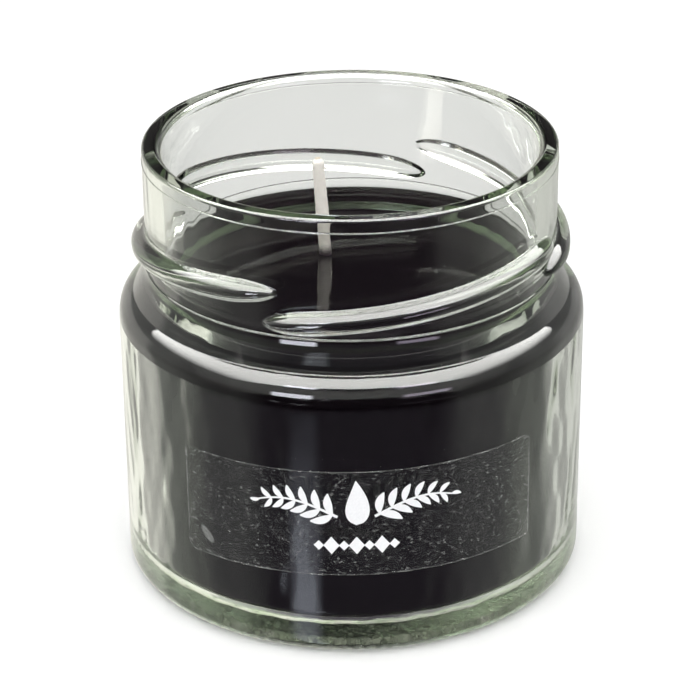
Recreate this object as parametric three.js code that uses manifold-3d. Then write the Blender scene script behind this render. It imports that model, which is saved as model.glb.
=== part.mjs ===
// Jar candle: a clear glass twist-off jar filled with wax, with a wick, its
// sustainer, the adhesive pad under the sustainer and a clear label on the wall.
//
// Units are millimetres. +Z is up, the origin is the centre of the base ring at
// the height it stands on, and -Y is the side with the label.

import * as THREE from 'three';
import { mergeVertices } from 'three/addons/utils/BufferGeometryUtils.js';
import Module from 'manifold-3d';

// ---- driving dimensions -------------------------------------------------

const JAR_HEIGHT = 68;
const BODY_RADIUS = 35.5;
const NECK_RADIUS = 31.1;
const WALL = 2.9;
const FLOOR_TOP = 3.4;

const HEEL_RADIUS = 2.6;
const RING_WIDTH = 3.2;
const PUSH_UP = 1.1;
const SHOULDER_START = 40.25;
const SHOULDER_LEAD = 20;
const SHOULDER_LEAD_TURN = 5;
const SHOULDER_CONVEX = 3.6;
const CREST_TURN = 66;
const CREASE = 0.35;
const CONE_SLOPE = 29;
const NECK_FILLET = 4;
const INNER_SHOULDER_START = 39.9;
const INNER_SHOULDER_CONVEX = 2.6;
const INNER_SHOULDER_TURN = 80;
const INNER_SHOULDER_CONCAVE = 1;
const INNER_HEEL = 3.2;
const RIM_OUTER_ROUND = 0.45;
const RIM_INNER_ROUND = 1.1;

const LUG_COUNT = 4;
const LUG_HEIGHT = 3.6;
const LUG_DEPTH = 2.1;
const LUG_SPAN = 93;
const LUG_FIRST_START = -23.5;
const LUG_START_Z = 51.4;
const LUG_RISE = 4.8;
const LUG_TIP = 0.16;
const LUG_STEPS = 22;
const LUG_ROOT = 0.6;

const WAX_TOP = 45;
const WAX_GAP = 0.25;
const MENISCUS = 0.3;

const WICK_RADIUS = 1.15;
const WICK_BORE = 0.62;
const WICK_CORE = 0.45;
const WICK_SIDES = 10;
const WICK_STEPS = 18;
const WICK_GAP = 0.3;
const WICK_BURIED_END = new THREE.Vector3(-1.6, 5.2, FLOOR_TOP + 1.3);
const WICK_COLLAR_END = new THREE.Vector3(-1.6, 5.2, FLOOR_TOP + 7.9);
const WICK_AT_SURFACE = new THREE.Vector3(-4.0, 11.6, WAX_TOP);
const WICK_TIP = new THREE.Vector3(-5.0, 12.2, 60.3);

const PAD_RADIUS = 9;
const PAD_THICKNESS = 0.8;
const SUSTAINER_RADIUS = 10;
const SUSTAINER_SHEET = 0.3;
const COLLAR_RADIUS = 1.7;
const COLLAR_FOOT = 2.6;
const COLLAR_HEIGHT = 5;

const LABEL_WIDTH = 56;
const LABEL_HEIGHT = 17;
const LABEL_CORNER = 0.9;
const LABEL_CENTRE_Z = 22.4;
const LABEL_CENTRE_ANGLE = 1.8;
const LABEL_TILT = 0.7;
const LABEL_LIFT = 0.03;
const LABEL_FILM = 0.1;

const ROUND_SIDES = 64;
const SMALL_ROUND_SIDES = 40;

const rad = THREE.MathUtils.degToRad;

// ---- manifold-3d joins and cuts -----------------------------------------

const wasm = await Module();
wasm.setup();

function toSolid(geometry) {
  const bare = geometry.index ? geometry.clone() : geometry;
  bare.deleteAttribute('normal');
  bare.deleteAttribute('uv');
  const merged = mergeVertices(bare, 1e-5);
  return new wasm.Manifold(new wasm.Mesh({
    numProp: 3,
    vertProperties: new Float32Array(merged.attributes.position.array),
    triVerts: new Uint32Array(merged.index.array),
  }));
}

function toGeometry(solid) {
  const mesh = solid.getMesh();
  const geometry = new THREE.BufferGeometry();
  geometry.setAttribute('position', new THREE.BufferAttribute(mesh.vertProperties, 3));
  geometry.setIndex(new THREE.BufferAttribute(mesh.triVerts, 1));
  geometry.computeVertexNormals();
  return geometry;
}

// ---- outlines -----------------------------------------------------------

// Points on an arc in the (radius, height) plane; angles in degrees from +radius.
function arc(centreR, centreZ, radius, from, to, steps) {
  const points = [];
  for (let i = 0; i <= steps; i += 1) {
    const a = rad(from + ((to - from) * i) / steps);
    points.push([centreR + radius * Math.cos(a), centreZ + radius * Math.sin(a)]);
  }
  return points;
}

// A body of revolution about Z from its (radius, height) outline, drawn from the
// bottom of the axis out, up and back to the axis, or as a closed loop.
function revolve(points, sides) {
  const outline = points.map(([r, z]) => new THREE.Vector2(r, z));
  const geometry = new THREE.LatheGeometry(outline, sides);
  return geometry.rotateX(Math.PI / 2);
}

// The inside's shoulder between a wall of radius `wide` and a neck of radius
// `narrow`: a convex arc that starts at height `low`, a steep cone, a concave arc.
function innerShoulder(wide, narrow, low, convex, concave, steps) {
  const turn = rad(INNER_SHOULDER_TURN);
  const coneDrop = wide - narrow - (convex + concave) * (1 - Math.cos(turn));
  const neckZ = low + (convex + concave) * Math.sin(turn) + coneDrop / Math.tan(turn);
  return [
    ...arc(wide - convex, low, convex, 0, INNER_SHOULDER_TURN, steps),
    ...arc(narrow + concave, neckZ, concave, 180 + INNER_SHOULDER_TURN, 180, steps),
  ];
}

// The outside's shoulder, from the body up to the neck: a gentle lead arc over
// its first few degrees, the convex shoulder, a tight crease, a cone and the
// fillet into the neck.
function outerShoulder() {
  const lead = rad(SHOULDER_LEAD_TURN);
  const crest = rad(CREST_TURN);
  const slope = rad(CONE_SLOPE);
  const leadR = BODY_RADIUS - SHOULDER_LEAD * (1 - Math.cos(lead));
  const leadZ = SHOULDER_START + SHOULDER_LEAD * Math.sin(lead);
  const centreR = leadR - SHOULDER_CONVEX * Math.cos(lead);
  const centreZ = leadZ - SHOULDER_CONVEX * Math.sin(lead);
  const creaseR = centreR + (SHOULDER_CONVEX + CREASE) * Math.cos(crest);
  const creaseZ = centreZ + (SHOULDER_CONVEX + CREASE) * Math.sin(crest);
  const coneR = creaseR - CREASE * Math.cos(slope);
  const coneZ = creaseZ - CREASE * Math.sin(slope);
  const filletR = NECK_RADIUS + NECK_FILLET * (1 - Math.cos(slope));
  const filletZ = coneZ + (coneR - filletR) / Math.tan(slope);
  const neckZ = filletZ + NECK_FILLET * Math.sin(slope);
  return [
    [BODY_RADIUS, SHOULDER_START],
    ...arc(centreR, centreZ, SHOULDER_CONVEX, SHOULDER_LEAD_TURN, CREST_TURN, 5),
    [coneR, coneZ],
    ...arc(NECK_RADIUS + NECK_FILLET, neckZ, NECK_FILLET, 180 + CONE_SLOPE, 180, 3),
  ];
}

function outerOutline() {
  const ringInner = BODY_RADIUS - HEEL_RADIUS - RING_WIDTH;
  return [
    [0, PUSH_UP],
    [ringInner * 0.6, PUSH_UP * 0.85],
    [ringInner - 1.5, PUSH_UP * 0.3],
    [ringInner, 0],
    ...arc(BODY_RADIUS - HEEL_RADIUS, HEEL_RADIUS, HEEL_RADIUS, -90, 0, 5),
    ...outerShoulder(),
    ...arc(NECK_RADIUS - RIM_OUTER_ROUND, JAR_HEIGHT - RIM_OUTER_ROUND, RIM_OUTER_ROUND, 0, 90, 3),
  ];
}

// The inside of the jar from the neck down to the floor, moved in by `gap`.
function innerOutline(gap) {
  const bodyR = BODY_RADIUS - WALL - gap;
  const neckR = NECK_RADIUS - WALL - gap;
  const heel = INNER_HEEL - gap;
  const wall = innerShoulder(bodyR, neckR, INNER_SHOULDER_START,
    INNER_SHOULDER_CONVEX - gap, INNER_SHOULDER_CONCAVE + gap, 3);
  return [
    ...wall.reverse(),
    ...arc(bodyR - heel, FLOOR_TOP + INNER_HEEL, heel, 0, -90, 5),
    [0, FLOOR_TOP + gap],
  ];
}

// ---- the glass jar ------------------------------------------------------

// One thread lug: a rounded ridge along a rising helix, thin at both tips.
function lugGeometry(startAngle) {
  const ring = 8;
  const positions = [];
  const indices = [];
  for (let i = 0; i <= LUG_STEPS; i += 1) {
    const t = i / LUG_STEPS;
    const taper = Math.min(t, 1 - t) / LUG_TIP;
    const size = Math.max(0.12, Math.sqrt(Math.min(1, taper)));
    const angle = rad(startAngle + LUG_SPAN * t - 90);
    const z = LUG_START_Z + LUG_RISE * t;
    for (let k = 0; k < ring; k += 1) {
      const a = -Math.PI / 2 + (Math.PI * k) / (ring - 1);
      const bulge = Math.cos(a) * LUG_DEPTH * size;
      const r = k === 0 || k === ring - 1 ? NECK_RADIUS - LUG_ROOT : NECK_RADIUS + bulge;
      const h = Math.sin(a) * 0.5 * LUG_HEIGHT * size;
      positions.push(r * Math.cos(angle), r * Math.sin(angle), z + h);
    }
  }
  for (let i = 0; i < LUG_STEPS; i += 1) {
    for (let k = 0; k < ring; k += 1) {
      const a = i * ring + k;
      const b = i * ring + ((k + 1) % ring);
      indices.push(a, a + ring, b, b, a + ring, b + ring);
    }
  }
  const last = LUG_STEPS * ring;
  for (let k = 1; k < ring - 1; k += 1) {
    indices.push(0, k, k + 1);
    indices.push(last, last + k + 1, last + k);
  }
  const geometry = new THREE.BufferGeometry();
  geometry.setAttribute('position', new THREE.Float32BufferAttribute(positions, 3));
  geometry.setIndex(indices);
  return geometry;
}

function jarGeometry() {
  const bore = NECK_RADIUS - WALL;
  const rimInner = arc(bore + RIM_INNER_ROUND, JAR_HEIGHT - RIM_INNER_ROUND,
    RIM_INNER_ROUND, 90, 180, 3);
  const outline = [...outerOutline(), ...rimInner, ...innerOutline(0)];
  let jar = toSolid(revolve(outline, ROUND_SIDES));
  for (let i = 0; i < LUG_COUNT; i += 1) {
    jar = jar.add(toSolid(lugGeometry(LUG_FIRST_START + (360 / LUG_COUNT) * i)));
  }
  return toGeometry(jar);
}

// ---- the wick -----------------------------------------------------------

function wickPath() {
  return new THREE.CatmullRomCurve3([
    WICK_BURIED_END,
    WICK_COLLAR_END,
    WICK_BURIED_END.clone().lerp(WICK_AT_SURFACE, 0.6),
    WICK_AT_SURFACE,
    WICK_TIP,
  ], false, 'centripetal');
}

// A round section of the wick's number of sides, as an outline or as a hole.
function circlePoints(radius) {
  const points = [];
  for (let i = 0; i < WICK_SIDES; i += 1) {
    const a = (2 * Math.PI * i) / WICK_SIDES;
    points.push(new THREE.Vector2(radius * Math.cos(a), radius * Math.sin(a)));
  }
  return points;
}

function alongWick(radius, bore) {
  const section = new THREE.Shape(circlePoints(radius));
  if (bore) {
    section.holes.push(new THREE.Path(circlePoints(bore).reverse()));
  }
  return new THREE.ExtrudeGeometry(section, {
    steps: WICK_STEPS,
    extrudePath: wickPath(),
    curveSegments: 1,
  });
}

// ---- the sustainer and its pad ------------------------------------------

function padGeometry() {
  const top = FLOOR_TOP + PAD_THICKNESS;
  const outline = [[0, FLOOR_TOP], [PAD_RADIUS, FLOOR_TOP], [PAD_RADIUS, top], [0, top]];
  return revolve(outline, SMALL_ROUND_SIDES);
}

function sustainerGeometry() {
  const low = FLOOR_TOP + PAD_THICKNESS;
  const sheet = low + SUSTAINER_SHEET;
  const bore = COLLAR_RADIUS - SUSTAINER_SHEET;
  const outline = [
    [bore, low],
    [SUSTAINER_RADIUS, low],
    [SUSTAINER_RADIUS, sheet],
    [COLLAR_FOOT, sheet],
    [COLLAR_RADIUS, sheet + COLLAR_FOOT - COLLAR_RADIUS],
    [COLLAR_RADIUS, low + COLLAR_HEIGHT],
    [bore, low + COLLAR_HEIGHT],
    [bore, low],
  ];
  return revolve(outline, SMALL_ROUND_SIDES);
}

// The space that the pad and the sustainer take up in the bottom of the wax.
function pocketGeometry() {
  const g = WICK_GAP;
  const flangeTop = FLOOR_TOP + PAD_THICKNESS + SUSTAINER_SHEET + g;
  const collarTop = FLOOR_TOP + PAD_THICKNESS + COLLAR_HEIGHT + g;
  const outline = [
    [0, 0],
    [SUSTAINER_RADIUS + g, 0],
    [SUSTAINER_RADIUS + g, flangeTop],
    [COLLAR_FOOT + g, flangeTop],
    [COLLAR_RADIUS + g, flangeTop + COLLAR_FOOT - COLLAR_RADIUS],
    [COLLAR_RADIUS + g, collarTop],
    [0, collarTop],
  ];
  return revolve(outline, SMALL_ROUND_SIDES);
}

// ---- the wax ------------------------------------------------------------

function waxGeometry() {
  const inside = innerOutline(WAX_GAP);
  const edge = NECK_RADIUS - WALL - WAX_GAP;
  const outline = [
    ...inside.filter(([, z]) => z < WAX_TOP).reverse(),
    [edge, WAX_TOP + MENISCUS],
    [edge - 0.8, WAX_TOP + 0.1],
    [edge - 2.5, WAX_TOP],
    [0, WAX_TOP],
  ];
  const pocket = pocketGeometry().translate(WICK_BURIED_END.x, WICK_BURIED_END.y, 0);
  const wax = toSolid(revolve(outline, ROUND_SIDES))
    .subtract(toSolid(pocket))
    .subtract(toSolid(alongWick(WICK_RADIUS + WICK_GAP, 0)));
  return toGeometry(wax);
}

// ---- the label ----------------------------------------------------------

// A flat rounded rectangle facing -Y, thick enough to pass through the front of
// the film's ring only.
function labelCutter() {
  const halfW = (BODY_RADIUS + LABEL_LIFT) * Math.sin(LABEL_WIDTH / 2 / BODY_RADIUS);
  const halfH = LABEL_HEIGHT / 2;
  const c = LABEL_CORNER;
  const shape = new THREE.Shape();
  shape.moveTo(-halfW + c, -halfH);
  shape.lineTo(halfW - c, -halfH);
  shape.absarc(halfW - c, -halfH + c, c, -Math.PI / 2, 0);
  shape.lineTo(halfW, halfH - c);
  shape.absarc(halfW - c, halfH - c, c, 0, Math.PI / 2);
  shape.lineTo(-halfW + c, halfH);
  shape.absarc(-halfW + c, halfH - c, c, Math.PI / 2, Math.PI);
  shape.lineTo(-halfW, -halfH + c);
  shape.absarc(-halfW + c, -halfH + c, c, Math.PI, 1.5 * Math.PI);
  const plate = new THREE.ExtrudeGeometry(shape, {
    depth: BODY_RADIUS + 5,
    bevelEnabled: false,
    curveSegments: 3,
  });
  plate.rotateX(Math.PI / 2);
  plate.rotateY(rad(-LABEL_TILT));
  plate.rotateZ(rad(LABEL_CENTRE_ANGLE));
  return plate.translate(0, 0, LABEL_CENTRE_Z);
}

function labelGeometry() {
  const inner = BODY_RADIUS + LABEL_LIFT;
  const outer = inner + LABEL_FILM;
  const low = LABEL_CENTRE_Z - LABEL_HEIGHT;
  const high = LABEL_CENTRE_Z + LABEL_HEIGHT;
  const outline = [[inner, low], [outer, low], [outer, high], [inner, high], [inner, low]];
  const ring = toSolid(revolve(outline, ROUND_SIDES));
  return toGeometry(ring.intersect(toSolid(labelCutter())));
}

// ---- materials and assembly ---------------------------------------------

const glass = new THREE.MeshStandardMaterial({
  color: 0xdfe8dc, roughness: 0.05, metalness: 0, transparent: true, opacity: 0.35,
});
const blackWax = new THREE.MeshStandardMaterial({ color: 0x14101a, roughness: 0.35, metalness: 0 });
const cotton = new THREE.MeshStandardMaterial({ color: 0xded7cd, roughness: 0.9, metalness: 0 });
const paper = new THREE.MeshStandardMaterial({ color: 0xcfc4b0, roughness: 0.95, metalness: 0 });
const tinplate = new THREE.MeshStandardMaterial({ color: 0xb9babd, roughness: 0.35, metalness: 1 });
const foam = new THREE.MeshStandardMaterial({ color: 0xe9e7e0, roughness: 0.9, metalness: 0 });
const film = new THREE.MeshStandardMaterial({
  color: 0xc9cac6, roughness: 0.25, metalness: 0, transparent: true, opacity: 0.3,
});

const candle = new THREE.Group();

function addPart(name, geometry, material, x = 0, y = 0) {
  const mesh = new THREE.Mesh(geometry, material);
  mesh.name = name;
  mesh.position.set(x, y, 0);
  candle.add(mesh);
}

addPart('glass_jar', jarGeometry(), glass);
addPart('wax_fill', waxGeometry(), blackWax);
addPart('wick_braid', alongWick(WICK_RADIUS, WICK_BORE), cotton);
addPart('wick_core', alongWick(WICK_CORE, 0), paper);
addPart('wick_sustainer', sustainerGeometry(), tinplate, WICK_BURIED_END.x, WICK_BURIED_END.y);
addPart('sustainer_pad', padGeometry(), foam, WICK_BURIED_END.x, WICK_BURIED_END.y);
addPart('front_label', labelGeometry(), film);

export default candle;
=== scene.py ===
"""A black wax candle in a clear glass twist-off jar, standing on a pale floor."""
import math

import bpy
import numpy as np
from mathutils import Matrix, Vector


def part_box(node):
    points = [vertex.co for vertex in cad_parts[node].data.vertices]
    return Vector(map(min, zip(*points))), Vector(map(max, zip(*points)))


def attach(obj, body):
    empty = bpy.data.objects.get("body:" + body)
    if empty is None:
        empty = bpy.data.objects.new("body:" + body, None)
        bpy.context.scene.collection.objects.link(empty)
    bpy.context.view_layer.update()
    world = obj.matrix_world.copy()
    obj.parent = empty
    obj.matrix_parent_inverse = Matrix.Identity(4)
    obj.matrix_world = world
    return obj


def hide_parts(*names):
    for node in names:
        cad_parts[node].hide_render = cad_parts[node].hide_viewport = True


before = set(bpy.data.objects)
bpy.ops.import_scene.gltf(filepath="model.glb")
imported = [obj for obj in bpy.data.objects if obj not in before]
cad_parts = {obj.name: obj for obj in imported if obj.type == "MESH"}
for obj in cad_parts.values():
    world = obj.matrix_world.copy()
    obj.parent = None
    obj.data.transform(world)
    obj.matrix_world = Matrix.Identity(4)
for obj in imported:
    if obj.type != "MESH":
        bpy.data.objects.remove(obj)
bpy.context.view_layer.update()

MM = 0.001
IN_MM = (1000, 1000, 1000)

# ---- sizes, from the frame and a few driving dimensions -------------------

jar_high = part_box("glass_jar")[1]
wax_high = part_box("wax_fill")[1]
pad_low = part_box("sustainer_pad")[0]

JAR_HEIGHT = jar_high.z
BODY_R = jar_high.x
NECK_R = BODY_R - 4.4 * MM
WALL = 2.9 * MM
FLOOR_TOP = pad_low.z

HEEL_R = 2.6 * MM
RING_WIDTH = 3.2 * MM
PUSH_UP = 1.1 * MM
SHOULDER_START = 40.25 * MM
SHOULDER_LEAD = 20 * MM
LEAD_TURN = 5
SHOULDER_CONVEX = 3.6 * MM
CREST_TURN = 66
CREASE = 0.35 * MM
CONE_SLOPE = 29
NECK_FILLET = 4.0 * MM
INNER_SHOULDER_START = 39.9 * MM
INNER_SHOULDER_CONVEX = 2.6 * MM
INNER_SHOULDER_TURN = 80
INNER_SHOULDER_CONCAVE = 1.0 * MM
INNER_HEEL = 3.2 * MM
RIM_OUTER_ROUND = 0.45 * MM
RIM_INNER_ROUND = 1.1 * MM
STIPPLE_TOP = 2.2 * MM
STIPPLE_R = BODY_R - 0.7 * HEEL_R

LUGS = 4
LUG_START = math.radians(-23.5)
LUG_SPAN = math.radians(93)
LUG_START_Z = 51.4 * MM
LUG_RISE = 4.8 * MM
LUG_HEIGHT = 3.6 * MM
LUG_DEPTH = 2.08 * MM
LUG_TIP = 0.15
PARTING_Z = 49.6 * MM
BEAD_Z = 66.0 * MM

CAD_MENISCUS = 0.3 * MM
WAX_TOP = wax_high.z - CAD_MENISCUS
WAX_GAP = 0.12 * MM
CONTACT_Z = 39.0 * MM
CONTACT_DEPTH = 0.02 * MM
MENISCUS = 0.15 * MM

LABEL_WIDTH = 56 * MM
LABEL_HEIGHT = 17 * MM
LABEL_CORNER = 0.9 * MM
LABEL_Z = 22.4 * MM
LABEL_ANGLE = math.radians(1.8)
LABEL_TILT = math.radians(0.7)
BUBBLE_X = -24.1 * MM
BUBBLE_Z = -5.2 * MM
BUBBLE_SLANT = 0.9
BUBBLE_LENGTHWAYS = -28.9
BUBBLE_CROSSWAYS = 16.6
ORNAMENT_X = -0.7
ORNAMENT_Z = 3.4
INK_LIFT = 0.002 * MM
INK_THICKNESS = 0.033 * MM
FILM_INNER = BODY_R + 0.02 * MM
FILM_OUTER = BODY_R + 0.10 * MM

JAR_SIDES = 512
TAU = 2 * math.pi


# ---- mesh helpers ---------------------------------------------------------

def add_object(name, verts, faces, smooth=True):
    mesh = bpy.data.meshes.new(name)
    mesh.from_pydata([tuple(v) for v in verts], [], faces)
    mesh.validate()
    if smooth:
        mesh.shade_smooth()
    obj = bpy.data.objects.new(name, mesh)
    bpy.context.scene.collection.objects.link(obj)
    return obj


def arc(centre_r, centre_z, radius, start, end, steps):
    """Points on an arc in the (radius, height) plane, angles in degrees from +radius."""
    turn = np.radians(np.linspace(start, end, steps + 1))
    return [(centre_r + radius * math.cos(a), centre_z + radius * math.sin(a)) for a in turn]


def resample(points, step):
    """The same outline with extra points where two neighbours are more than step apart."""
    dense = [points[0]]
    for (r0, z0), (r1, z1) in zip(points, points[1:]):
        parts = max(1, math.ceil(math.hypot(r1 - r0, z1 - z0) / step))
        dense += [(r0 + (r1 - r0) * k / parts, z0 + (z1 - z0) * k / parts)
                  for k in range(1, parts + 1)]
    return dense


def revolve(name, outline, sides, shape):
    """A body of revolution about Z, from an outline that begins and ends on the axis.
    shape(angle, r, z, row) moves the surface: it gets grids and the index along the outline,
    and returns new r and z."""
    outline = np.array(outline, float)
    rows = outline[1:-1]
    n = len(rows)
    angle = np.arange(sides) * TAU / sides
    a, r = np.meshgrid(angle, rows[:, 0])
    z = np.repeat(rows[:, 1][:, None], sides, axis=1)
    row = np.repeat(np.arange(1, n + 1)[:, None], sides, axis=1)
    r, z = shape(a, r, z, row)
    # angle 0 faces -Y and grows towards +X
    verts = np.stack([r * np.sin(a), -r * np.cos(a), z], -1).reshape(-1, 3).tolist()
    faces = []
    for start in range(0, (n - 1) * sides, sides):
        for j in range(sides):
            m = (j + 1) % sides
            faces.append((start + j, start + m, start + sides + m, start + sides + j))
    verts.append((0, 0, z[0].mean() + (outline[0, 1] - outline[1, 1])))
    faces += [(len(verts) - 1, (j + 1) % sides, j) for j in range(sides)]
    verts.append((0, 0, z[-1].mean() + (outline[-1, 1] - outline[-2, 1])))
    last = (n - 1) * sides
    faces += [(len(verts) - 1, last + j, last + (j + 1) % sides) for j in range(sides)]
    return add_object(name, verts, faces)


def inner_shoulder(wide, narrow, low, convex, concave, steps):
    """From a wall up to a neck: a convex arc, a steep cone, then a concave arc."""
    turn = math.radians(INNER_SHOULDER_TURN)
    cone = (wide - narrow - (convex + concave) * (1 - math.cos(turn))) / math.tan(turn)
    neck_z = low + (convex + concave) * math.sin(turn) + cone
    return (arc(wide - convex, low, convex, 0, INNER_SHOULDER_TURN, steps)
            + arc(narrow + concave, neck_z, concave, 180 + INNER_SHOULDER_TURN, 180, steps))


def outer_shoulder():
    """The outside from the body to the neck: a gentle lead arc, the convex shoulder, a tight
    crease, a cone and the fillet into the neck."""
    lead, crest, slope = (math.radians(t) for t in (LEAD_TURN, CREST_TURN, CONE_SLOPE))
    lead_r = BODY_R - SHOULDER_LEAD * (1 - math.cos(lead))
    lead_z = SHOULDER_START + SHOULDER_LEAD * math.sin(lead)
    centre_r = lead_r - SHOULDER_CONVEX * math.cos(lead)
    centre_z = lead_z - SHOULDER_CONVEX * math.sin(lead)
    reach = SHOULDER_CONVEX + CREASE
    crease_r = centre_r + reach * math.cos(crest)
    crease_z = centre_z + reach * math.sin(crest)
    cone_r = crease_r - CREASE * math.cos(slope)
    cone_z = crease_z - CREASE * math.sin(slope)
    fillet_r = NECK_R + NECK_FILLET * (1 - math.cos(slope))
    fillet_z = cone_z + (cone_r - fillet_r) / math.tan(slope)
    neck_z = fillet_z + NECK_FILLET * math.sin(slope)
    return (arc(BODY_R - SHOULDER_LEAD, SHOULDER_START, SHOULDER_LEAD, 0, LEAD_TURN, 4)
            + arc(centre_r, centre_z, SHOULDER_CONVEX, LEAD_TURN, CREST_TURN, 22)[1:]
            + arc(crease_r, crease_z, CREASE, 180 + CREST_TURN, 180 + CONE_SLOPE, 8)[1:]
            + arc(NECK_R + NECK_FILLET, neck_z, NECK_FILLET, 180 + CONE_SLOPE, 180, 60))


def ripple(angle, height, around, along, terms, seed):
    """Smooth random ripples of size about 1, with wavelengths near around and along, in metres."""
    rng = np.random.default_rng(seed)
    total = np.zeros_like(angle)
    for _ in range(terms):
        count = max(1, round(TAU * BODY_R / around * rng.uniform(0.6, 1.6)))
        slope = TAU / along * rng.uniform(-1.4, 1.4)
        total += np.cos(count * angle + slope * height + rng.uniform(0, TAU))
    return total / math.sqrt(terms)


def ramp(value, low, high):
    """0 below low, 1 above high, smooth between."""
    t = np.clip((value - low) / (high - low), 0, 1)
    return t * t * (3 - 2 * t)


# ---- node helpers ---------------------------------------------------------

def new_material(name):
    material = bpy.data.materials.new(name)
    material.use_nodes = True
    nodes = material.node_tree.nodes
    nodes.clear()
    out = nodes.new("ShaderNodeOutputMaterial")
    return material, material.node_tree, out


def new_surface(name):
    material, tree, out = new_material(name)
    shader = tree.nodes.new("ShaderNodeBsdfPrincipled")
    tree.links.new(shader.outputs[0], out.inputs["Surface"])
    return material, tree, shader


def math_node(tree, operation, *values, clamp=False):
    node = tree.nodes.new("ShaderNodeMath")
    node.operation = operation
    node.use_clamp = clamp
    for socket, value in zip(node.inputs, values):
        if isinstance(value, (int, float)):
            socket.default_value = value
        else:
            tree.links.new(value, socket)
    return node.outputs[0]


def noise_node(tree, scale, detail=3.0, roughness=0.5, vector=None):
    node = tree.nodes.new("ShaderNodeTexNoise")
    node.inputs["Scale"].default_value = scale
    node.inputs["Detail"].default_value = detail
    node.inputs["Roughness"].default_value = roughness
    if vector:
        tree.links.new(vector, node.inputs["Vector"])
    return node.outputs["Fac"]


def object_coords(tree, scale=(1, 1, 1)):
    coords = tree.nodes.new("ShaderNodeTexCoord")
    mapping = tree.nodes.new("ShaderNodeMapping")
    mapping.inputs["Scale"].default_value = scale
    tree.links.new(coords.outputs["Object"], mapping.inputs["Vector"])
    return mapping.outputs["Vector"]


def map_range(tree, value, low, high, to_low, to_high, smooth=False):
    node = tree.nodes.new("ShaderNodeMapRange")
    if smooth:
        node.interpolation_type = "SMOOTHSTEP"
    tree.links.new(value, node.inputs["Value"])
    limits = {"From Min": low, "From Max": high, "To Min": to_low, "To Max": to_high}
    for key, number in limits.items():
        node.inputs[key].default_value = number
    return node.outputs["Result"]


def mix_color(tree, factor, color_a, color_b):
    node = tree.nodes.new("ShaderNodeMix")
    node.data_type = "RGBA"
    tree.links.new(factor, node.inputs["Factor"])
    for socket, value in ((node.inputs["A"], color_a), (node.inputs["B"], color_b)):
        if isinstance(value, tuple):
            socket.default_value = value + (1,)
        else:
            tree.links.new(value, socket)
    return node.outputs["Result"]


def bump(tree, height, distance, strength=1.0):
    node = tree.nodes.new("ShaderNodeBump")
    node.inputs["Strength"].default_value = strength
    node.inputs["Distance"].default_value = distance
    tree.links.new(height, node.inputs["Height"])
    return node.outputs["Normal"]


# ---- materials ------------------------------------------------------------

def glass_material():
    material, tree, out = new_material("jar_glass")
    shader = tree.nodes.new("ShaderNodeBsdfPrincipled")
    shader.inputs["Base Color"].default_value = (0.75, 0.752, 0.738, 1)
    shader.inputs["Roughness"].default_value = 0.0
    shader.inputs["IOR"].default_value = 1.52
    shader.inputs["Transmission Weight"].default_value = 1.0
    absorb = tree.nodes.new("ShaderNodeVolumeAbsorption")
    absorb.inputs["Color"].default_value = (0.805, 0.838, 0.785, 1)
    absorb.inputs["Density"].default_value = 100.0
    tree.links.new(shader.outputs[0], out.inputs["Surface"])
    tree.links.new(absorb.outputs[0], out.inputs["Volume"])
    return material


def stippled_glass_material(clear):
    """The jar's underside: stippling and wear leave pale frosted patches, and its pits are painted
    near-black, a painted shade.
    """
    material = clear.copy()
    material.name = "jar_glass_stippled"
    tree = material.node_tree
    shader = next(n for n in tree.nodes if n.type == "BSDF_PRINCIPLED")
    coords = object_coords(tree, IN_MM)
    dots = noise_node(tree, 0.7, 4, 0.7, coords)
    patches = noise_node(tree, 0.33, 4, 0.7, object_coords(tree, (1000, 600, 1000)))
    pale = mix_color(tree, map_range(tree, patches, 0.40, 0.60, 0, 1), (0.60, 0.78, 0.48), (1.0, 1.0, 0.92))
    # Painted shade: the stipple's pits get a near-black colour; the pale patches are frosting from wear.
    tree.links.new(mix_color(tree, map_range(tree, dots, 0.36, 0.43, 0, 1), (0.04, 0.07, 0.035), pale),
                   shader.inputs["Base Color"])
    clear_part = math_node(tree, "MULTIPLY", map_range(tree, patches, 0.40, 0.60, 1.0, 0.90),
                           map_range(tree, dots, 0.34, 0.41, 0.25, 1.0))
    tree.links.new(clear_part, shader.inputs["Transmission Weight"])
    tree.links.new(bump(tree, dots, 0.1 * MM), shader.inputs["Normal"])
    return material


def wax_material():
    material, tree, shader = new_surface("black_wax")
    coords = object_coords(tree, IN_MM)
    cloudy = noise_node(tree, 0.12, 4, 0.55, coords)
    tree.links.new(mix_color(tree, cloudy, (0.0065, 0.0046, 0.0064), (0.0120, 0.0086, 0.0112)),
                   shader.inputs["Base Color"])
    tree.links.new(map_range(tree, cloudy, 0.3, 0.7, 0.05, 0.09), shader.inputs["Roughness"])
    shader.inputs["IOR"].default_value = 1.44
    shader.inputs["Specular IOR Level"].default_value = 0.08
    fine = noise_node(tree, 1.6, 3, 0.5, coords)
    tree.links.new(bump(tree, fine, 0.004 * MM), shader.inputs["Normal"])
    return material


def wick_material():
    material, tree, shader = new_surface("wick_cotton")
    coords = object_coords(tree, IN_MM)
    fibre = noise_node(tree, 3.5, 4, 0.6, coords)
    cotton = mix_color(tree, fibre, (0.92, 0.87, 0.79), (0.98, 0.95, 0.90))
    axes = tree.nodes.new("ShaderNodeSeparateXYZ")
    tree.links.new(coords, axes.inputs[0])
    # Painted shade: over the last few millimetres above the wax the wick's colour fades to near-black.
    level = math_node(tree, "ADD", axes.outputs[2], math_node(tree, "MULTIPLY", fibre, 1.2))
    above_painted_shade = map_range(tree, level, WAX_TOP / MM + 0.7, WAX_TOP / MM + 2.9, 0, 1, smooth=True)
    tree.links.new(mix_color(tree, above_painted_shade, (0.020, 0.012, 0.018), cotton), shader.inputs["Base Color"])
    shader.inputs["Roughness"].default_value = 0.6
    tree.links.new(bump(tree, fibre, 0.03 * MM), shader.inputs["Normal"])
    return material


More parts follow.
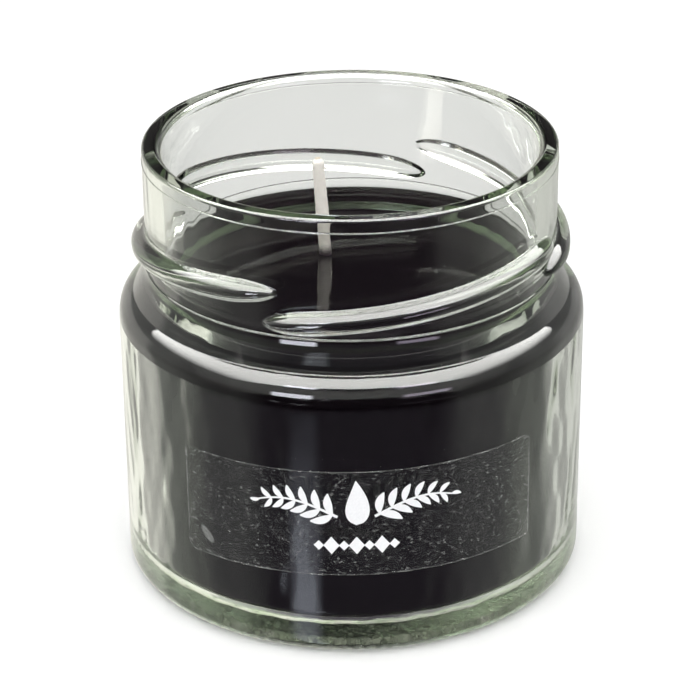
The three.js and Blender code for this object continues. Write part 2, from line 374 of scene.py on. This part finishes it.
def film_material():
    """Clear film: a thin milky haze with streaks, and a painted highlight along its cut edge."""
    material, tree, shader = new_surface("label_film")
    coords = object_coords(tree, IN_MM)
    streaks = noise_node(tree, 1.0, 4, 0.65, object_coords(tree, (700, 700, 2400)))
    specks = noise_node(tree, 1.0, 3, 0.7, object_coords(tree, (1400, 1400, 2800)))
    broad = noise_node(tree, 0.08, 2, 0.5, coords)
    haze = math_node(tree, "MULTIPLY", map_range(tree, streaks, 0.35, 0.70, 0.0, 0.012),
                     map_range(tree, broad, 0.35, 0.65, 0.5, 1.4))
    fleck = map_range(tree, specks, 0.61, 0.66, 0.0, 0.15)
    axes = tree.nodes.new("ShaderNodeSeparateXYZ")
    tree.links.new(coords, axes.inputs[0])
    x, y, z = axes.outputs
    around = math_node(tree, "ARCTAN2", x, math_node(tree, "MULTIPLY", y, -1.0))
    from_middle = math_node(tree, "SUBTRACT", around, LABEL_ANGLE)
    across = math_node(tree, "MULTIPLY", from_middle, BODY_R / MM)
    up = math_node(tree, "SUBTRACT", z, LABEL_Z / MM)
    climb = math_node(tree, "MULTIPLY", across, math.tan(LABEL_TILT))
    level = math_node(tree, "SUBTRACT", up, climb)
    near_end = math_node(tree, "SUBTRACT", math_node(tree, "ABSOLUTE", across), 0.5 * LABEL_WIDTH / MM)
    near_side = math_node(tree, "SUBTRACT", math_node(tree, "ABSOLUTE", level), 0.5 * LABEL_HEIGHT / MM)
    # Painted highlight: the film turns whiter in a thin line along its cut edge, broken up by the streaks.
    edge = map_range(tree, math_node(tree, "MAXIMUM", near_end, near_side), -0.16, -0.08, 0.0, 0.16)
    painted_edge_highlight = math_node(tree, "MULTIPLY", edge, map_range(tree, streaks, 0.42, 0.60, 0.1, 1.0))
    # an elongated air bubble near the lower left corner, placed along two slanted axes
    lengthways = math_node(tree, "ADD", across, math_node(tree, "MULTIPLY", level, BUBBLE_SLANT))
    crossways = math_node(tree, "SUBTRACT", level, math_node(tree, "MULTIPLY", across, BUBBLE_SLANT))
    lengthways = math_node(tree, "SUBTRACT", lengthways, BUBBLE_LENGTHWAYS)
    crossways = math_node(tree, "SUBTRACT", crossways, BUBBLE_CROSSWAYS)
    long_part = math_node(tree, "POWER", math_node(tree, "MULTIPLY", crossways, 0.45), 2.0)
    short_part = math_node(tree, "POWER", math_node(tree, "MULTIPLY", lengthways, 1.1), 2.0)
    spread = math_node(tree, "ADD", long_part, short_part)
    bubble = map_range(tree, math_node(tree, "ADD", spread, streaks), 1.2, 1.6, 0.09, 0.0)
    milky = math_node(tree, "ADD", haze, fleck)
    marks = math_node(tree, "ADD", painted_edge_highlight, bubble)
    tree.links.new(math_node(tree, "ADD", milky, marks, clamp=True), shader.inputs["Alpha"])
    shader.inputs["Base Color"].default_value = (0.78, 0.80, 0.77, 1)
    shader.inputs["Roughness"].default_value = 0.35
    tree.links.new(bump(tree, streaks, 0.003 * MM), shader.inputs["Normal"])
    return material


def ink_material():
    material, tree, shader = new_surface("label_ink")
    coords = object_coords(tree, IN_MM)
    grain = noise_node(tree, 3.0, 3, 0.5, coords)
    tree.links.new(mix_color(tree, grain, (0.74, 0.75, 0.77), (0.90, 0.90, 0.91)),
                   shader.inputs["Base Color"])
    shader.inputs["Roughness"].default_value = 0.5
    tree.links.new(bump(tree, grain, 0.006 * MM), shader.inputs["Normal"])
    return material


def paper_material():
    material, tree, shader = new_surface("wick_paper")
    fibre = noise_node(tree, 1.0, 5, 0.6, object_coords(tree, (2500, 2500, 500)))
    tree.links.new(mix_color(tree, fibre, (0.46, 0.39, 0.29), (0.70, 0.63, 0.52)),
                   shader.inputs["Base Color"])
    shader.inputs["Roughness"].default_value = 0.85
    tree.links.new(bump(tree, fibre, 0.03 * MM), shader.inputs["Normal"])
    return material


def tinplate_material():
    material, tree, shader = new_surface("tinplate")
    rolled = noise_node(tree, 1.0, 4, 0.6, object_coords(tree, (300, 9000, 3000)))
    spots = noise_node(tree, 0.7, 2, 0.5, object_coords(tree, IN_MM))
    tree.links.new(mix_color(tree, spots, (0.55, 0.55, 0.56), (0.70, 0.70, 0.71)),
                   shader.inputs["Base Color"])
    shader.inputs["Metallic"].default_value = 1.0
    tree.links.new(map_range(tree, rolled, 0.3, 0.7, 0.22, 0.42), shader.inputs["Roughness"])
    tree.links.new(bump(tree, rolled, 0.006 * MM), shader.inputs["Normal"])
    return material


def foam_material():
    material, tree, shader = new_surface("pad_foam")
    cells = tree.nodes.new("ShaderNodeTexVoronoi")
    cells.inputs["Scale"].default_value = 2.4
    tree.links.new(object_coords(tree, IN_MM), cells.inputs["Vector"])
    tree.links.new(mix_color(tree, cells.outputs["Distance"], (0.70, 0.69, 0.66), (0.86, 0.85, 0.82)),
                   shader.inputs["Base Color"])
    shader.inputs["Roughness"].default_value = 0.9
    tree.links.new(bump(tree, cells.outputs["Distance"], 0.05 * MM), shader.inputs["Normal"])
    return material


# ---- the jar --------------------------------------------------------------

def lug_height(angle, z):
    """How far the thread lugs stand out of the neck at an angle and a height."""
    height = np.zeros_like(z)
    for k in range(LUGS):
        along = ((angle - LUG_START - k * TAU / LUGS) % TAU) / LUG_SPAN
        end = np.clip(np.minimum(along, 1 - along) / LUG_TIP, 0, 1)
        size = np.sqrt(np.clip(1 - (1 - end) ** 2, 0, 1))
        size = np.where((along > 0) & (along < 1), size, 0)
        centre = LUG_START_Z + LUG_RISE * along
        across = np.abs(z - centre) / np.maximum(0.5 * LUG_HEIGHT * size, 1e-6)
        section = np.clip(1 - across ** 2.2, 0, 1) ** 0.6
        height = np.maximum(height, LUG_DEPTH * size * section)
    return height


def ridge(z, centre, height, width):
    return height * np.exp(-((z - centre) / width) ** 2)


def wall_wave(angle, r, z):
    """How far the uneven inside of the glass stands out at a place on the wall or the floor."""
    body = ramp(z, FLOOR_TOP, FLOOR_TOP + 4 * MM) * (1 - ramp(z, 40 * MM, 46 * MM))
    wall = 0.07 * MM * ripple(angle, z, 12 * MM, 50 * MM, 7, 11)
    wall += 0.016 * MM * ripple(angle, z, 5 * MM, 16 * MM, 8, 12)
    floor = 0.06 * MM * ripple(angle, r, 9 * MM, 7 * MM, 9, 13) * ramp(r, 12 * MM, 18 * MM)
    floor *= 1 - ramp(z, FLOOR_TOP + 0.5 * MM, FLOOR_TOP + 3 * MM)
    neck = 0.004 * MM * ripple(angle, z, 5 * MM, 11 * MM, 8, 14) * ramp(z, 47 * MM, 50 * MM)
    neck *= 1 - ramp(z, JAR_HEIGHT - 2.5 * MM, JAR_HEIGHT - 1 * MM)
    return wall * body + neck, floor


def outer_shape(angle, r, z):
    neck = np.clip((z - 48.4 * MM) / (0.8 * MM), 0, 1) * (r > NECK_R - 0.01 * MM)
    lines = ridge(z, PARTING_Z, 0.20 * MM, 0.12 * MM) + ridge(z, BEAD_Z, 0.09 * MM, 0.06 * MM)
    body = ramp(z, 3 * MM, 8 * MM) * (1 - ramp(z, 36 * MM, 42 * MM))
    wave = 0.012 * MM * (ripple(angle, z, 16 * MM, 30 * MM, 7, 21) - 1.5)
    r = r + neck * (lug_height(angle, z) + lines) + body * wave
    ring_inner = BODY_R - HEEL_R - RING_WIDTH
    base = (z < 3 * MM) * (r < BODY_R - 0.2 * MM)
    stipple = ramp(r, ring_inner - 0.5 * MM, ring_inner + 0.5 * MM)
    mottle = 0.045 * MM * (1.4 + ripple(angle, r, 2.3 * MM, 1.6 * MM, 14, 22))
    mottle += 0.05 * MM * (1.4 + ripple(angle, r, 11 * MM, 5 * MM, 7, 23)) * (1 - stipple)
    return r, z + base * np.clip(mottle, 0, 1) * (1 - ramp(z, 1.6 * MM, 3 * MM))


def outer_outline():
    ring_inner = BODY_R - HEEL_R - RING_WIDTH
    low = [(0, PUSH_UP)]
    low += resample([(2 * MM, PUSH_UP), (ring_inner * 0.6, PUSH_UP * 0.85),
                     (ring_inner - 1.5 * MM, PUSH_UP * 0.3), (ring_inner, 0),
                     (BODY_R - HEEL_R, 0)], 0.4 * MM)
    heel = arc(BODY_R - HEEL_R, HEEL_R, HEEL_R, -90, 0, 18)[1:]
    top = outer_shoulder()
    body = resample([heel[-1], top[0]], 1.0 * MM)[1:-1]
    neck_top = JAR_HEIGHT - RIM_OUTER_ROUND
    levels = {top[-1][1], neck_top}
    levels.update(np.arange(top[-1][1] + 0.12 * MM, neck_top - 0.05 * MM, 0.12 * MM))
    for middle in (PARTING_Z, BEAD_Z):
        levels.update(middle + np.arange(-10, 11) * 0.03 * MM)
    neck = [(NECK_R, z) for z in sorted(levels) if z > top[-1][1]]
    rim = arc(NECK_R - RIM_OUTER_ROUND, neck_top, RIM_OUTER_ROUND, 0, 90, 8)[1:]
    return low + heel + body + top + neck + rim


def inner_outline(gap=0.0):
    """The jar's inside from below the rim down to the floor, moved in by gap."""
    body = BODY_R - WALL - gap
    neck = NECK_R - WALL - gap
    heel = INNER_HEEL - gap
    wall = inner_shoulder(body, neck, INNER_SHOULDER_START, INNER_SHOULDER_CONVEX - gap,
                          INNER_SHOULDER_CONCAVE + gap, 16)[::-1]
    corner = arc(body - heel, FLOOR_TOP + INNER_HEEL, heel, 0, -90, 14)
    side = resample([wall[-1], corner[0]], 1.0 * MM)[1:-1]
    floor = resample([corner[-1], (2 * MM, FLOOR_TOP + gap)], 0.8 * MM)[1:]
    return wall + side + corner + floor + [(0, FLOOR_TOP + gap)]


def make_jar():
    outside = outer_outline()
    rim = arc(NECK_R - WALL + RIM_INNER_ROUND, JAR_HEIGHT - RIM_INNER_ROUND, RIM_INNER_ROUND, 90, 180, 12)
    inner = inner_outline()
    neck = resample([rim[-1], inner[0]], 1.0 * MM)[1:-1]

    def shape(angle, r, z, row):
        out_r, out_z = outer_shape(angle, r, z)
        wall, floor = wall_wave(angle, r, z)
        outer = row < len(outside)
        return np.where(outer, out_r, r + wall), np.where(outer, out_z, z + floor)

    jar = revolve("jar_glass_body", outside + rim + neck + inner, JAR_SIDES, shape)
    clear = glass_material()
    jar.data.materials.append(clear)
    jar.data.materials.append(stippled_glass_material(clear))
    for face in jar.data.polygons:
        x, y, z = face.center
        face.material_index = int(z < STIPPLE_TOP and math.hypot(x, y) < STIPPLE_R)
    return jar


def make_wax():
    """The wax, a little off the glass up to CONTACT_Z and wetting the glass above it."""
    edge = NECK_R - WALL - WAX_GAP
    low, high = CONTACT_Z + 1 * MM, WAX_TOP - 0.05 * MM
    side = [p for p in inner_outline(WAX_GAP) if p[1] < CONTACT_Z][::-1]
    side += [p for p in inner_outline(-CONTACT_DEPTH) if low < p[1] < high][::-1]
    meniscus = [(edge, WAX_TOP + MENISCUS), (edge - 0.2 * MM, WAX_TOP + 0.1 * MM),
                (edge - 0.7 * MM, WAX_TOP + 0.03 * MM), (edge - 2 * MM, WAX_TOP)]
    middle = resample([meniscus[-1], (1 * MM, WAX_TOP)], 0.7 * MM)[1:]

    def shape(angle, r, z, row):
        wall, floor = wall_wave(angle, r, z)
        free = row >= len(side) + len(meniscus)
        sink = 0.02 * MM * (ripple(angle, r, 30 * MM, 18 * MM, 7, 31) - 1) * free * ramp(r, 2 * MM, 9 * MM)
        return np.where(row < len(side), r + wall, r), z + np.where(row < len(side), floor, sink)

    wax = revolve("black_wax_fill", side + meniscus + middle + [(0, WAX_TOP)], 360, shape)
    wax.data.materials.append(wax_material())
    return wax


# ---- the wick -------------------------------------------------------------

WICK_FOOT = Vector((-1.6 * MM, 5.2 * MM, FLOOR_TOP + 1.3 * MM))
WICK_COLLAR = Vector((-1.6 * MM, 5.2 * MM, FLOOR_TOP + 7.9 * MM))
WICK_SURFACE = Vector((-4.0 * MM, 11.6 * MM, WAX_TOP))
WICK_TIP = Vector((-5.0 * MM, 12.2 * MM, 60.3 * MM))
WICK_POINTS = [WICK_FOOT, WICK_COLLAR, WICK_FOOT.lerp(WICK_SURFACE, 0.6), WICK_SURFACE, WICK_TIP]
WICK_R = 1.12 * MM
BRAID_PITCH = 5.2 * MM


def wick_curve(steps):
    pts = [2 * WICK_POINTS[0] - WICK_POINTS[1]] + WICK_POINTS + [2 * WICK_POINTS[-1] - WICK_POINTS[-2]]
    path = []
    for k in range(1, len(pts) - 2):
        a, b, c, d = pts[k - 1:k + 3]
        for i in range(steps):
            t = i / steps
            path.append(0.5 * ((2 * b) + (c - a) * t + (2 * a - 5 * b + 4 * c - d) * t * t
                               + (3 * b - a - 3 * c + d) * t ** 3))
    path.append(WICK_POINTS[-1])
    return path


def make_wick():
    """A tube along the wick's path with eight strands plaited into its surface."""
    path = wick_curve(140)
    sides = 48
    turn = np.arange(sides) * TAU / sides
    travelled = 0.0
    rings = []
    for i, p in enumerate(path):
        ahead = (path[min(i + 1, len(path) - 1)] - path[max(i - 1, 0)]).normalized()
        u = ahead.cross(Vector((1, 0, 0))).normalized()
        v = ahead.cross(u)
        if i:
            travelled += (p - path[i - 1]).length
        twist = travelled * TAU / BRAID_PITCH
        left = np.abs(np.cos(2 * (turn + twist)))
        right = np.abs(np.cos(2 * (turn - twist)))
        over = np.where(np.sin(4 * turn) * np.sin(4 * twist) > 0, left, right)
        radius = WICK_R * (0.94 + 0.04 * over + 0.02 * np.maximum(left, right))
        radius += 0.02 * MM * np.cos(3 * turn + travelled * 1900)
        to_tip = (len(path) - 1 - i) / 9
        radius *= math.sqrt(max(0.02, 1 - (1 - min(1, to_tip)) ** 2))
        radius *= 1.0 - 0.16 * ramp(p.z, 46 * MM, 58 * MM)
        rings.append([p + (u * math.cos(t) + v * math.sin(t)) * d for t, d in zip(turn, radius)])
    verts = [p for ring in rings for p in ring]
    faces = []
    for i in range(len(rings) - 1):
        for j in range(sides):
            m = (j + 1) % sides
            faces.append((i * sides + j, (i + 1) * sides + j, (i + 1) * sides + m, i * sides + m))
    faces.append(tuple(range(sides)))
    faces.append(tuple(reversed(range(len(verts) - sides, len(verts)))))
    wick = add_object("wick_braid_visual", verts, faces)
    wick.data.materials.append(wick_material())
    return wick


# ---- the label ------------------------------------------------------------

def on_wall(across, up, radius):
    """A point of the label, measured from its middle, on the jar's wall."""
    turned = across * math.cos(LABEL_TILT) - up * math.sin(LABEL_TILT)
    height = up * math.cos(LABEL_TILT) + across * math.sin(LABEL_TILT)
    angle = LABEL_ANGLE + turned / BODY_R
    return (radius * math.sin(angle), -radius * math.cos(angle), LABEL_Z + height)


def make_film():
    half_w, half_h, c = LABEL_WIDTH / 2, LABEL_HEIGHT / 2, LABEL_CORNER
    ends = [half_w - c + c * math.sin(t) for t in np.radians(np.linspace(0, 90, 9))]
    columns = [-x for x in reversed(ends)] + list(np.linspace(-half_w + c, half_w - c, 110)[1:-1]) + ends
    rows = 36
    verts, faces = [], []
    for radius in (FILM_OUTER, FILM_INNER):
        for x in columns:
            over = max(0.0, abs(x) - (half_w - c))
            reach = half_h - c + math.sqrt(max(0.0, c * c - over * over))
            for k in range(rows + 1):
                up = reach * (2 * k / rows - 1)
                away = math.hypot(x - BUBBLE_X, up - BUBBLE_Z)
                bubble = math.exp(-((away / (0.75 * MM)) ** 4))
                lift = 0.05 * MM * bubble if radius == FILM_OUTER else 0
                verts.append(on_wall(x, up, radius + lift))
    high = rows + 1
    layer = len(columns) * high
    for i in range(len(columns) - 1):
        for k in range(rows):
            a, b = i * high + k, (i + 1) * high + k
            faces.append((a, b, b + 1, a + 1))
            faces.append((layer + a, layer + a + 1, layer + b + 1, layer + b))
    last = len(columns) - 1
    for i in range(last):
        a, b = i * high, (i + 1) * high
        faces.append((a, layer + a, layer + b, b))
        faces.append((a + rows, b + rows, layer + b + rows, layer + a + rows))
    for k in range(rows):
        faces.append((k, k + 1, layer + k + 1, layer + k))
        a = last * high + k
        faces.append((a, layer + a, layer + a + 1, a + 1))
    film = add_object("label_film_clear", verts, faces)
    film.data.materials.append(film_material())
    return film


def ribbon(centres, widths):
    """Rows of points across a line: centres are (x, y), widths the full widths, in millimetres."""
    centres = np.array(centres, float)
    ahead = np.gradient(centres, axis=0)
    ahead /= np.linalg.norm(ahead, axis=1)[:, None]
    side = np.stack([-ahead[:, 1], ahead[:, 0]], 1)
    return [[tuple(c + s * w * k) for k in (-0.5, -0.25, 0, 0.25, 0.5)]
            for c, s, w in zip(centres, side, widths)]


def leaf(x, y, direction, length, width):
    t = np.linspace(0, 1, 13)
    turn = math.radians(direction)
    bend = 0.10 * length * np.sin(math.pi * t)
    centres = np.stack([x + length * t * math.cos(turn) - bend * math.sin(turn),
                        y + length * t * math.sin(turn) + bend * math.cos(turn)], 1)
    return ribbon(centres, width * np.sin(math.pi * np.clip(t, 0.02, 0.98)) ** 0.75)


def lozenge(x, y, width, height):
    t = np.linspace(-1, 1, 9)
    return ribbon(np.stack([x + 0.5 * width * t, np.full(9, y)], 1), height * np.clip(1 - np.abs(t), 0.03, 1))


# The sprigs' stems, in millimetres: they follow a sine as they go out from the flame.
SPRIG_START = 2.7
SPRIG_LENGTH = 11.6
SPRIG_LOW = -2.2
SPRIG_RISE = 2.6
SPRIG_BEND = 2.3
LEAF_LENGTH = 3.5
LEAF_WIDTH = 1.25


def stem_point(along):
    return SPRIG_START + SPRIG_LENGTH * along, SPRIG_LOW + SPRIG_RISE * np.sin(along * SPRIG_BEND)


def ornament():
    """A flame between two sprigs, over a row of lozenges, in millimetres from the middle of it."""
    t = np.linspace(0, 1, 21)
    low, height, width = -3.5, 7.2, 3.5
    outer = np.sin(math.pi * t ** 0.62) ** 0.9
    shapes = [ribbon(np.stack([0.25 * np.sin(3 * t), low + height * t], 1),
                     width * np.clip(outer, 0.02, 1))]
    stem = np.linspace(0, 1, 25)
    for side in (-1, 1):
        x, y = stem_point(stem)
        shapes.append(ribbon(np.stack([side * x, y], 1), 0.42 - 0.2 * stem))
        for k in range(6):
            along = 0.06 + 0.155 * k
            x, y = stem_point(along)
            climb = SPRIG_RISE * SPRIG_BEND * math.cos(along * SPRIG_BEND)
            slope = math.degrees(math.atan(climb / SPRIG_LENGTH))
            size = LEAF_LENGTH - 0.28 * k
            for lean in (52, -46):
                direction = slope + lean if side > 0 else 180 - slope - lean
                shapes.append(leaf(side * x, y, direction, size, LEAF_WIDTH * size / LEAF_LENGTH))
        x, y = stem_point(1)
        shapes.append(leaf(side * (x - 0.1), y, -8 if side > 0 else 188, 1.6, 0.6))
    for k in range(-3, 4):
        width, height = (1.5, 1.6) if k % 2 else (2.3, 2.9)
        shapes.append(lozenge(1.8375 * k, -6.9, width, height))
    return shapes


def make_print():
    verts, faces = [], []
    for rows in ornament():
        start = len(verts)
        across = len(rows[0])
        count = len(rows) * across
        for radius in (FILM_OUTER + INK_LIFT + INK_THICKNESS, FILM_OUTER + INK_LIFT):
            for row in rows:
                for x, y in row:
                    verts.append(on_wall((x + ORNAMENT_X) * MM, (y + ORNAMENT_Z) * MM, radius))
        first_edge = []
        for i in range(len(rows) - 1):
            for k in range(across - 1):
                a, b = start + i * across + k, start + (i + 1) * across + k
                faces.append((a, a + 1, b + 1, b))
                faces.append((count + a, count + b, count + b + 1, count + a + 1))
            a, b = start + i * across, start + (i + 1) * across
            faces.append((a, b, count + b, count + a))
            a, b = a + across - 1, b + across - 1
            faces.append((a, count + a, count + b, b))
        for k in range(across - 1):
            a = start + k
            faces.append((a, count + a, count + a + 1, a + 1))
            a = start + (len(rows) - 1) * across + k
            faces.append((a, a + 1, count + a + 1, count + a))
    stamp = add_object("label_print_ornament", verts, faces, smooth=False)
    stamp.data.materials.append(ink_material())
    return stamp


# ---- stage ----------------------------------------------------------------

def after_reflection(tree):
    """1 for a ray that a surface has reflected, also inside the glass, and 0 for any other.
    It lets the world and the floor look white to the camera and dark in reflections."""
    path = tree.nodes.new("ShaderNodeLightPath")
    return math_node(tree, "GREATER_THAN", path.outputs["Glossy Depth"], 0.5)


def make_floor():
    half = 3.0
    verts = [(-half, -half, 0), (half, -half, 0), (half, half, 0), (-half, half, 0)]
    floor = add_object("floor", verts, [(0, 1, 2, 3)], smooth=False)
    material, tree, out = new_material("pale_floor")
    diffuse = tree.nodes.new("ShaderNodeBsdfDiffuse")
    diffuse.inputs["Color"].default_value = (0.93, 0.93, 0.93, 1)
    through = tree.nodes.new("ShaderNodeBsdfTransparent")
    mix = tree.nodes.new("ShaderNodeMixShader")
    tree.links.new(after_reflection(tree), mix.inputs["Fac"])
    tree.links.new(diffuse.outputs[0], mix.inputs[1])
    tree.links.new(through.outputs[0], mix.inputs[2])
    tree.links.new(mix.outputs[0], out.inputs["Surface"])
    floor.data.materials.append(material)


def soft_window(tree, value, low, high, soft):
    """1 between low and high, falling smoothly to 0 over soft outside them."""
    rise = map_range(tree, value, low - soft, low, 0, 1, smooth=True)
    fall = map_range(tree, value, high, high + soft, 1, 0, smooth=True)
    return math_node(tree, "MULTIPLY", rise, fall)


# Studio lights as reflections show them: azimuth from -Y towards +X and elevation, in
# degrees, as (low, high, softness), then the radiance.
STUDIO = [
    ((-200, -116, 8), (-89, 12, 6), (0.76, 0.73, 0.68)),
    ((124, 200, 20), (-89, 12, 6), (0.42, 0.41, 0.40)),
    ((-150, -100, 34), (-89, 50, 6), (0.46, 0.48, 0.43)),
    ((100, 150, 34), (-89, 50, 6), (0.36, 0.38, 0.34)),
    ((-116, -60, 20), (-89, 40, 20), (0.26, 0.27, 0.25)),
    ((60, 116, 20), (-89, 40, 20), (0.26, 0.27, 0.25)),
    ((-150, 150, 4), (2, 91, 10), (0.16, 0.16, 0.17)),
    ((-70, 70, 25), (-89, -27, 3), (0.10, 0.09, 0.11)),
    ((-27, -21, 7), (-60, -33, 7), (1.7, 1.8, 2.1)),
    ((-36, -20, 2), (38, 44, 1), (15.0, 15.0, 16.5)),
    ((-36, -20, 3), (-6, 8, 2), (13.0, 13.0, 14.5)),
    ((26, 44, 4), (37, 43, 2), (7.0, 6.2, 7.6)),
    ((26, 44, 4), (-4, 4, 3), (4.0, 3.5, 4.4)),
]
STUDIO_DARK = (0.012, 0.008, 0.014)

# The ceiling softbox, as x / z and y / z of the directions that see it, then its radiance.
CEILING = ((-0.65, 0.65, 1.35), (-0.98, 1.1, 0.05), (13.0, 13.0, 12.6))


def add_scaled(tree, total, factor, color):
    """total plus color times factor; total is a socket or a plain colour."""
    scaled = tree.nodes.new("ShaderNodeVectorMath")
    scaled.operation = "SCALE"
    scaled.inputs[0].default_value = color
    tree.links.new(factor, scaled.inputs["Scale"])
    added = tree.nodes.new("ShaderNodeVectorMath")
    added.operation = "ADD"
    if isinstance(total, tuple):
        added.inputs[0].default_value = total
    else:
        tree.links.new(total, added.inputs[0])
    tree.links.new(scaled.outputs[0], added.inputs[1])
    return added.outputs[0]


def make_world():
    """White where the camera sees it; reflections see the studio lights."""
    world = bpy.data.worlds.new("studio")
    bpy.context.scene.world = world
    world.use_nodes = True
    tree = world.node_tree
    tree.nodes.clear()
    out = tree.nodes.new("ShaderNodeOutputWorld")
    coords = tree.nodes.new("ShaderNodeTexCoord")
    axes = tree.nodes.new("ShaderNodeSeparateXYZ")
    tree.links.new(coords.outputs["Generated"], axes.inputs[0])
    x, y, z = axes.outputs
    forward = math_node(tree, "MULTIPLY", y, -1.0)
    azimuth = math_node(tree, "DEGREES", math_node(tree, "ARCTAN2", x, forward))
    elevation = math_node(tree, "DEGREES", math_node(tree, "ARCSINE", z))
    total = STUDIO_DARK
    for az, el, color in STUDIO:
        lit = math_node(tree, "MULTIPLY", soft_window(tree, azimuth, *az), soft_window(tree, elevation, *el))
        total = add_scaled(tree, total, lit, color)
    upward = math_node(tree, "MAXIMUM", z, 0.01)
    sideways, lengthways, color = CEILING
    lit = math_node(tree, "MULTIPLY",
                    soft_window(tree, math_node(tree, "DIVIDE", x, upward), *sideways),
                    soft_window(tree, math_node(tree, "DIVIDE", y, upward), *lengthways))
    total = add_scaled(tree, total, lit, color)
    color = mix_color(tree, after_reflection(tree), (1.0, 1.0, 1.0), total)
    background = tree.nodes.new("ShaderNodeBackground")
    tree.links.new(color, background.inputs["Color"])
    tree.links.new(background.outputs[0], out.inputs["Surface"])
    world.cycles.sampling_method = "NONE"


def make_light(name, location, target, size, power):
    light = bpy.data.lights.new(name, "AREA")
    light.shape = "RECTANGLE"
    light.size, light.size_y = size
    light.energy = power
    obj = bpy.data.objects.new(name, light)
    obj.location = location
    obj.rotation_euler = (Vector(target) - Vector(location)).to_track_quat("-Z", "Y").to_euler()
    obj.visible_glossy = False
    obj.visible_transmission = False
    obj.visible_camera = False
    bpy.context.scene.collection.objects.link(obj)


# The camera, fitted to the photo's outline of the jar. The lens is in millimetres.
CAMERA_ELEVATION = math.radians(25.683)
CAMERA_ROLL = math.radians(-0.518)
CAMERA_DISTANCE = 410.18 * MM
CAMERA_TARGET = Vector((-0.278, 0, 33.195)) * MM
CAMERA_LENS = 136.39


def make_camera():
    data = bpy.data.cameras.new("camera")
    data.lens = CAMERA_LENS
    data.sensor_width = 36.0
    data.clip_start = 0.01
    camera = bpy.data.objects.new("camera", data)
    back = Vector((0, -math.cos(CAMERA_ELEVATION), math.sin(CAMERA_ELEVATION)))
    right = Vector((1, 0, 0))
    up = back.cross(right)
    turned = right * math.cos(CAMERA_ROLL) + up * math.sin(CAMERA_ROLL)
    matrix = Matrix((turned, back.cross(turned), back)).transposed().to_4x4()
    matrix.translation = CAMERA_TARGET + back * CAMERA_DISTANCE
    camera.matrix_world = matrix
    bpy.context.scene.collection.objects.link(camera)
    bpy.context.scene.camera = camera


make_camera()
make_floor()
make_world()
make_light("softbox_top", (-0.05, -0.2, 0.7), (0, 0, 0.03), (0.9, 0.9), 2.3)

pieces = [
    (make_jar(), "glass_jar", "jar_glass"),
    (make_wax(), "wax_fill", "black_wax"),
    (make_wick(), "wick_braid", "wick_cotton"),
    (make_film(), "front_label", "label_film"),
    (make_print(), None, "label_ink"),
]
for piece, node, slot in pieces:
    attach(piece, "root")
    if node:
        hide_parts(node)

for node, material in (("wick_core", paper_material()), ("wick_sustainer", tinplate_material()),
                       ("sustainer_pad", foam_material())):
    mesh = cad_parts[node].data
    mesh.materials.clear()
    mesh.materials.append(material)

scene = bpy.context.scene
scene.view_settings.view_transform = "Standard"
scene.cycles.max_bounces = 32
scene.cycles.transmission_bounces = 32
scene.cycles.glossy_bounces = 16
scene.cycles.transparent_max_bounces = 16
